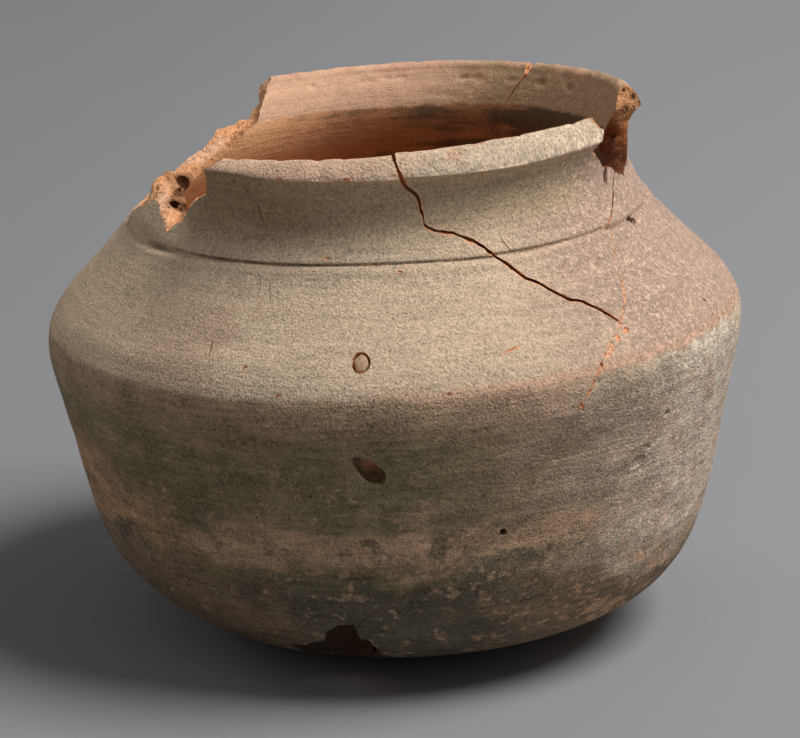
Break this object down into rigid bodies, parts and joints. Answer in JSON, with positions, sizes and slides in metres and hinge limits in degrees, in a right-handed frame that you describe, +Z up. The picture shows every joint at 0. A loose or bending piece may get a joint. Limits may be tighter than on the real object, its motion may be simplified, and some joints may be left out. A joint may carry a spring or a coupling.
{
  "type": "clay pot",
  "caption": "Round-bellied earthenware cooking pot with an everted rim, broken and mended from sherds, with parts of the rim and base lost.",
  "frame": {"origin": "on the ground, under the middle of the pot's overall width and depth", "axes": "+Z up through the mouth; +Y away from the viewer of the picture, +X to the viewer's right; the pot itself leans slightly towards -X"},
  "size_m": [0.1874, 0.1878, 0.1465],
  "materials": {
    "fired_clay": "unglazed, sandy, smoke-blackened below",
    "joint_glue": "dull, aged adhesive",
    "lime": "chalky"
  },
  "bodies": {
    "root": {"body_sherd": "fired_clay", "wall_sherd": "fired_clay", "rim_sherd": "fired_clay", "front_joint_glue": "joint_glue", "side_joint_glue": "joint_glue", "lower_joint_glue": "joint_glue", "back_joint_glue": "joint_glue", "lime_grain": "lime"}
  },
  "joints": []
}
